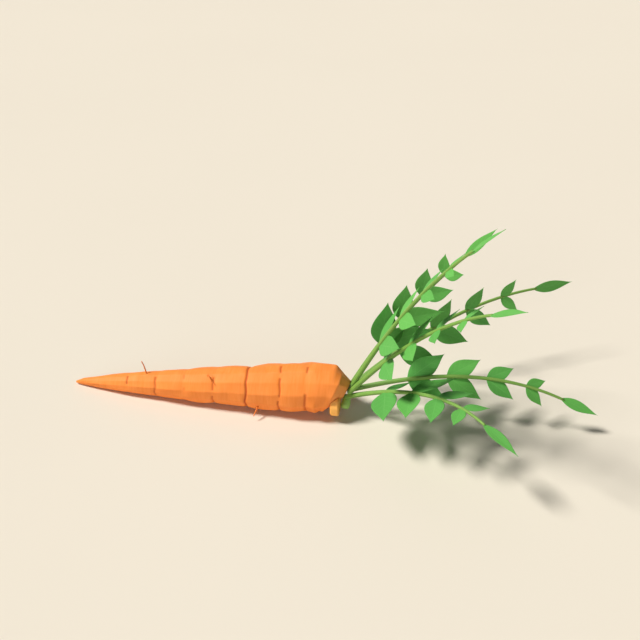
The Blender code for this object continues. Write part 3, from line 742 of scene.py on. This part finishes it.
def leaf_points(base, lie, across, length, width):
    """Points of a leaflet and their along and across numbers. At u along and v = cos a across, a point is
    base + lie * length * u + across * half * v + normal * (|v| * half * fold - sag * length * u ** 2
    + sin a * thickness / 2)."""
    normal = unit(np.cross(lie, across))
    u = (np.arange(LEAF_RINGS) + 0.5) / LEAF_RINGS
    u = 0.5 - 0.5 * np.cos(math.pi * u * (1 - RING_MARGIN) + RING_MARGIN)
    a = np.arange(LEAF_SIDES) * 2 * math.pi / LEAF_SIDES
    v = np.cos(a)[None, :]
    half = (width / 2 * leaf_half_width(u))[:, None]
    lift = np.abs(v) * half * LEAF_FOLD - LEAF_SAG * length * (u[:, None] ** 2)
    thick = LEAF_EDGE + (LEAF_THICKNESS - LEAF_EDGE) * np.exp(-((v / MIDRIB_SHARE) ** 2)) * (1 - u[:, None])
    level = np.sin(a)[None, :] * thick / 2
    points = (
        base
        + lie * (length * u[:, None, None])
        + across * (half * v)[..., None]
        + normal * (lift + level)[..., None]
    )
    tip = base + lie * length - normal * LEAF_SAG * length
    points = np.vstack([points.reshape(-1, 3), base, tip])
    along = np.concatenate([np.repeat(u, LEAF_SIDES), [0.0, 1.0]])
    sideways = np.concatenate([np.tile(np.cos(a), LEAF_RINGS), [0.0, 0.0]])
    return points, along, sideways


print("half width of a leaflet at 0.2, 0.4 and 0.8:", np.round(leaf_half_width(np.array([0.2, 0.4, 0.8])), 2))


# %% Building the fronds
class Pile:
    """Points, faces and numbers of several closed tubes, gathered into one mesh."""

    def __init__(self):
        self.points, self.faces, self.slots, self.count = [], [], [], 0
        self.numbers = {"along": [], "across": [], "around": [], "tone": []}

    def put(self, points, rings, sides, slot, **numbers):
        """Add one tube in a material slot. A number that isn't given is nought."""
        faces = tube_faces(rings, sides, self.count)
        self.points.append(points)
        self.faces += faces
        self.slots += [slot] * len(faces)
        self.count += len(points)
        for label, rows in self.numbers.items():
            rows.append(np.broadcast_to(numbers.get(label, 0.0), len(points)))

    def make(self, name, materials):
        """The object made of all that was added."""
        numbers = {label: np.concatenate(rows) for label, rows in self.numbers.items()}
        return mesh_object(name, np.vstack(self.points), self.faces, numbers, materials, self.slots)


def put_stem(pile, base, course):
    """Add the stem: a round tube that thins evenly. Its first ring stands upright on the crown."""
    share, places, along = course
    middles = np.vstack([base, places])
    directions = np.vstack([(1.0, 0.0, 0.0), along])
    level = unit(np.cross(UP, directions))
    radii = STEM_BASE_RADIUS + (STEM_TIP_RADIUS - STEM_BASE_RADIUS) * share
    radii = np.concatenate([[STEM_BASE_RADIUS], radii])
    ring_points = tube_points(middles, np.cross(directions, level), level, radii, STEM_SIDES)
    ring_share = np.concatenate([np.repeat(np.concatenate([[0.0], share]), STEM_SIDES), [0.0, 1.0]])
    ring_turn = np.concatenate([np.tile(np.arange(STEM_SIDES) / STEM_SIDES, len(middles)), [0.0, 0.0]])
    pile.put(ring_points, len(middles), STEM_SIDES, STALK_SLOT, along=ring_share, around=ring_turn)


def put_leaf(pile, base, lie, across, length, width, tone):
    """Add one leaflet."""
    blade, u, v = leaf_points(base, lie, across, length, width)
    pile.put(blade, LEAF_RINGS, LEAF_SIDES, LEAF_SLOT, along=u, across=v, tone=tone)


def put_pairs(pile, course, leafing, crowded, seed):
    """Add the pairs of leaflets. Each lies at an angle to the stem, towards its side, and droops."""
    roll, leaf_scale, angle, droop = leafing
    chance = random.Random(seed)
    for number, where in enumerate(LEAF_NODES):
        spot, ahead, side = stem_frame(course, where, roll)
        normal = np.cross(ahead, side)
        for hand in (1, -1):
            length = LEAF_LENGTHS[number] * leaf_scale * (1.0 + LEAF_JITTER * chance.uniform(-1.0, 1.0))
            length *= crowded.get((number, hand), 1.0)
            spread = math.radians(angle + ANGLE_JITTER * chance.uniform(-1.0, 1.0))
            fall = math.radians(droop + ANGLE_JITTER * chance.uniform(-1.0, 1.0))
            outward = side * hand * math.cos(fall) - normal * math.sin(fall)
            lie = unit(ahead * math.cos(spread) + outward * math.sin(spread))
            across = unit(np.cross(normal, lie))
            put_leaf(pile, spot, lie, across, length, length * LEAF_WIDTH_SHARE, PAIR_TONES[number])


def build_frond(name, place, bearing, leafing, crowded, seed):
    """One frond as a single object: its stem in a stalk slot, its leaflets in a leaf slot."""
    heading, rise, turn, bend, stretch = bearing
    base = stem_base(*place)
    course = stem_course(base, heading, rise, turn, bend, STEM_LENGTH * stretch)
    pile = Pile()
    put_stem(pile, base, course)
    put_pairs(pile, course, leafing, crowded, seed)
    spot, ahead, side = stem_frame(course, END_LEAF_PLACE, leafing[0])
    longer, wider = END_LEAF_SHAPES.get(name, (1.0, 1.0))
    width = END_LEAF_LENGTH * END_LEAF_WIDTH_SHARE * wider
    put_leaf(pile, spot, ahead, side, END_LEAF_LENGTH * longer, width, END_LEAF_TONE)
    obj = pile.make(name + "_foliage", [stalk, leaf])
    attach(obj, "root")
    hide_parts(name)


for name, rule in FRONDS.items():
    build_frond(name, *rule)

# %% [markdown]
# ## Crown button and leaf stub
# The button is a small lump of cork on the near side of the crown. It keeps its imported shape, since its few
# facets suit dry cork, and only gets its finish. The stub is the butt of an old leaf stem: a short bent tube
# that is fullest where it hangs down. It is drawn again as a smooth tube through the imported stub's path.

# %% The button
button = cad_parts["crown_button"]
button.data.materials.clear()
button.data.materials.append(cork)
print("button finish:", button.data.materials[0].name)

# %% The stub, in metres
STUB_RADIUS = 0.0029
STUB_PATH = (
    (0.0004, 0.0002, -0.0052),
    (0.0010, -0.0012, -0.0067),
    (0.0010, -0.0032, -0.0082),
    (0.0006, -0.0050, -0.0095),
    (0.0004, -0.0060, -0.0104),
)
STUB_RADIUS_SHARES = (0.66, 0.90, 1.0, 0.98, 0.72)
STUB_RINGS, STUB_SIDES = 21, 16
STUB_ROUNDING = 3  # running averages along the tube
STUB_SHARE = 0.2  # a stub is only the lowest fifth of a stalk


def build_stub():
    """The leaf stub: a round tube along its path, with the path and the radii averaged to soften them."""
    clear = GAP + STUB_RADIUS * CROWN_SLANT - CROWN_SLANT * STEM_RING_RADIUS
    start = np.array([FLAT_X + clear, axis_aside(FLAT_X), axis_height(FLAT_X)])
    middles = filled(start + np.array(STUB_PATH), STUB_RINGS)
    places = np.linspace(0, len(STUB_PATH) - 1, STUB_RINGS)
    radii = np.interp(places, np.arange(len(STUB_PATH)), np.array(STUB_RADIUS_SHARES) * STUB_RADIUS)
    for _ in range(STUB_ROUNDING):
        middles, radii = eased(middles), eased(radii)
    ahead = unit(np.gradient(middles, axis=0))
    level = unit(np.cross(ahead, (1.0, 0.0, 0.0)))
    points = tube_points(middles, np.cross(ahead, level), level, radii, STUB_SIDES)
    share = np.concatenate([np.repeat(np.linspace(0, STUB_SHARE, STUB_RINGS), STUB_SIDES), [0.0, STUB_SHARE]])
    turn = np.concatenate([np.tile(np.arange(STUB_SIDES) / STUB_SIDES, STUB_RINGS), [0.0, 0.0]])
    stub_faces = tube_faces(STUB_RINGS, STUB_SIDES)
    obj = mesh_object("leaf_stub_rind", points, stub_faces, {"along": share, "around": turn}, [painted_light_rind])
    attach(obj, "root")
    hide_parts("leaf_stub")


build_stub()

# %% [markdown]
# ## Light, floor and camera
# The carrot lies on a plain warm floor, as on a sheet of matt paper. Three suns light it: a key from the left
# and above, with a disc wide enough for soft-edged shadows, a weak broad one from behind, and a fill from the
# front, almost level, that lifts the shaded side of the root. The even surround is kept faint, so that the
# shadows stay dark. The camera looks along the photograph's angle.

# %% Floor
scene = bpy.context.scene
FLOOR_REACH = 10.0  # metres to each side
FLOOR_DROP = 0.0002  # just below the carrot, so that the two never share a plane


def build_floor():
    """A wide matt floor under the carrot, with a hardly visible drift of tone."""
    material = new_material("studio_floor")
    place = add(material, "ShaderNodeTexCoord", {}, "Object")
    drift = add(material, NOISE, {"Vector": place, "Scale": 3.0, "Detail": 2.0})
    tint = add(material, MIX, {"data_type": "RGBA", SHARE: drift, FIRST: "#E2DACC", SECOND: "#E5DDCF"}, MIXED)
    finish(material, {"Base Color": tint, "Roughness": 0.95, "Specular IOR Level": 0.1})
    mesh = bpy.data.meshes.new("studio_floor")
    size = FLOOR_REACH
    mesh.from_pydata([(-size, -size, 0), (size, -size, 0), (size, size, 0), (-size, size, 0)], [], [(0, 1, 2, 3)])
    mesh.materials.append(material)
    obj = bpy.data.objects.new("studio_floor", mesh)
    obj.location.z = -FLOOR_DROP
    scene.collection.objects.link(obj)


build_floor()

# %% Lights and camera
# Each sun: strength, width of its disc in degrees, colour, and the way it shines
SUNS = {
    "key": (3.95, 15.0, "#FFFCF6", (0.76, 0.08, -1.0)),
    "soft_back": (0.35, 70.0, "#FFFFFF", (0.05, -0.85, -0.55)),
    "front_fill": (1.2, 40.0, "#FFFFFF", (0.28, 0.95, -0.14)),
}
SURROUND_COLOUR, SURROUND_STRENGTH = "#FFFEFA", 0.04
CAMERA_AZIMUTH, CAMERA_ELEVATION = math.radians(8.7), math.radians(33.0)
CAMERA_DISTANCE = 0.5872
CAMERA_TARGET = Vector((0.0645, 0.0538, 0.0308))
LENS, SENSOR_WIDTH = 50.0, 36.0  # millimetres


def aim(obj, direction):
    """Turn a light or a camera so that it looks along a direction."""
    obj.rotation_euler = direction.to_track_quat("-Z", "Y").to_euler()


def build_lights():
    """The three suns and the even surround."""
    for name, (strength, width, colour, direction) in SUNS.items():
        sun = bpy.data.lights.new(name, "SUN")
        sun.energy = strength
        sun.angle = math.radians(width)
        sun.color = linear(colour)[:3]
        holder = bpy.data.objects.new(name, sun)
        scene.collection.objects.link(holder)
        aim(holder, Vector(direction))
    world = bpy.data.worlds.new("surround")
    world.use_nodes = True
    world.node_tree.nodes["Background"].inputs[0].default_value = linear(SURROUND_COLOUR)
    world.node_tree.nodes["Background"].inputs[1].default_value = SURROUND_STRENGTH
    scene.world = world


def build_camera():
    """The camera, at target + distance * (sin az * cos el, -cos az * cos el, sin el)."""
    flat = math.cos(CAMERA_ELEVATION)
    away = Vector((
        math.sin(CAMERA_AZIMUTH) * flat, -math.cos(CAMERA_AZIMUTH) * flat, math.sin(CAMERA_ELEVATION),
    ))
    data = bpy.data.cameras.new("camera")
    data.lens = LENS
    data.sensor_width = SENSOR_WIDTH
    camera = bpy.data.objects.new("camera", data)
    camera.location = CAMERA_TARGET + away * CAMERA_DISTANCE
    scene.collection.objects.link(camera)
    aim(camera, -away)
    scene.camera = camera


build_lights()
build_camera()
scene.view_settings.view_transform = "Standard"  # keeps the pale floor pale, with no film curve
print("lights:", list(SUNS), "camera at:", in_mm(scene.camera.location))
